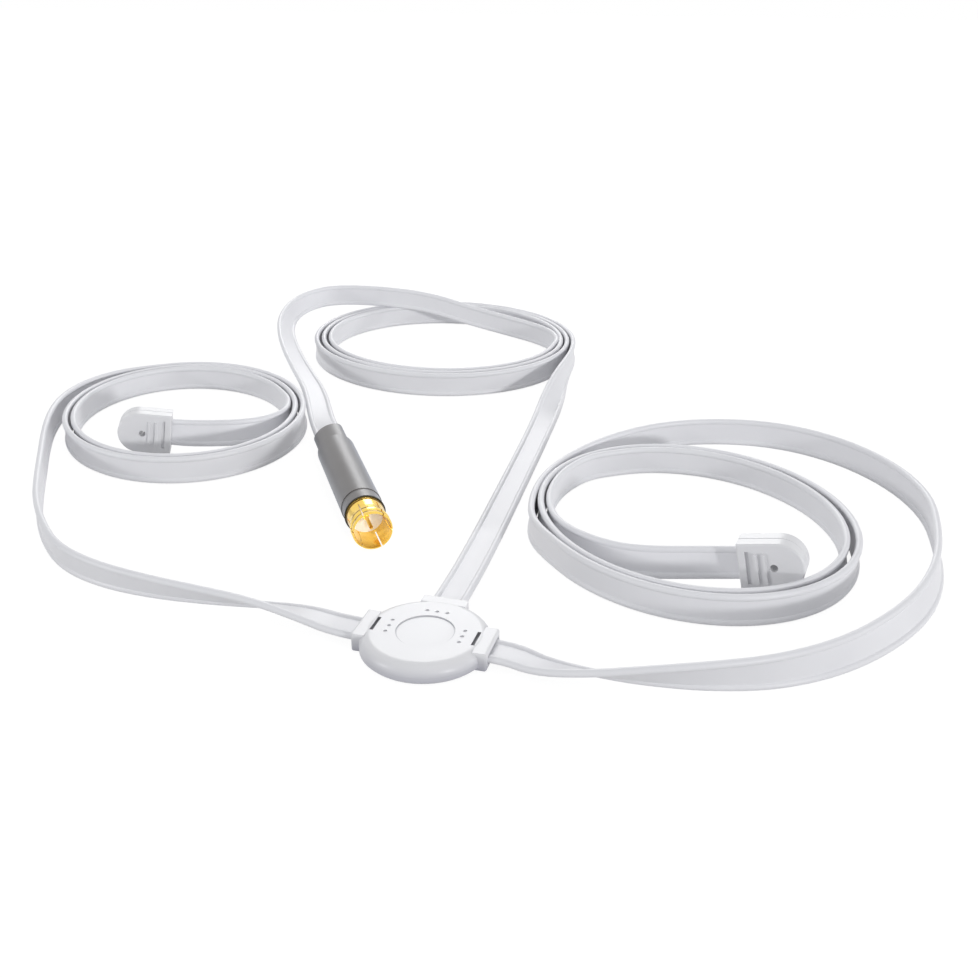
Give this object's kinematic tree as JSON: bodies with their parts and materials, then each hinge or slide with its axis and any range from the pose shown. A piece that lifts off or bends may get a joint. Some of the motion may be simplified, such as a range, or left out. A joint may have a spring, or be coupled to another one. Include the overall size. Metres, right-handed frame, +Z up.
{
  "type": "fm wire antenna",
  "caption": "Indoor T-shaped dipole of flat white ribbon cable: a round hub, coiled arms with nail-hole end caps and a coiled feeder with a push-on plug.",
  "frame": {"origin": "middle of the hub's underside, on the table", "axes": "+X along the right arm's exit, +Y along the feeder's exit, +Z up from the table"},
  "size_m": [0.2656, 0.2514, 0.0161],
  "materials": {
    "hub_plastic": "satin white",
    "cap_plastic": "satin white",
    "ribbon": "soft white",
    "board": "matt",
    "solder": "satin",
    "sleeve": "satin grey",
    "gold": "polished gold plate",
    "insulator": "matt white",
    "ferrite": "matt",
    "copper": "enamelled wire"
  },
  "bodies": {
    "root": {"hub_top_shell": "hub_plastic", "hub_bottom_shell": "hub_plastic", "junction_board": "board", "solder_joints": "solder", "left_arm_lead": "ribbon", "left_arm_coil": "ribbon", "left_arm_tail": "ribbon", "right_arm_lead": "ribbon", "right_arm_coil": "ribbon", "right_arm_tail": "ribbon", "feeder_lead": "ribbon", "feeder_coil": "ribbon", "feeder_tail": "ribbon", "left_cap_front": "cap_plastic", "left_cap_rear": "cap_plastic", "right_cap_front": "cap_plastic", "right_cap_rear": "cap_plastic", "left_shorting_link": "solder", "right_shorting_link": "solder", "connector_sleeve": "sleeve", "connector_shell": "gold", "connector_insulator": "insulator", "centre_pin": "gold", "balun_core": "ferrite", "balun_winding": "copper", "balun_leads": "copper"}
  },
  "joints": []
}
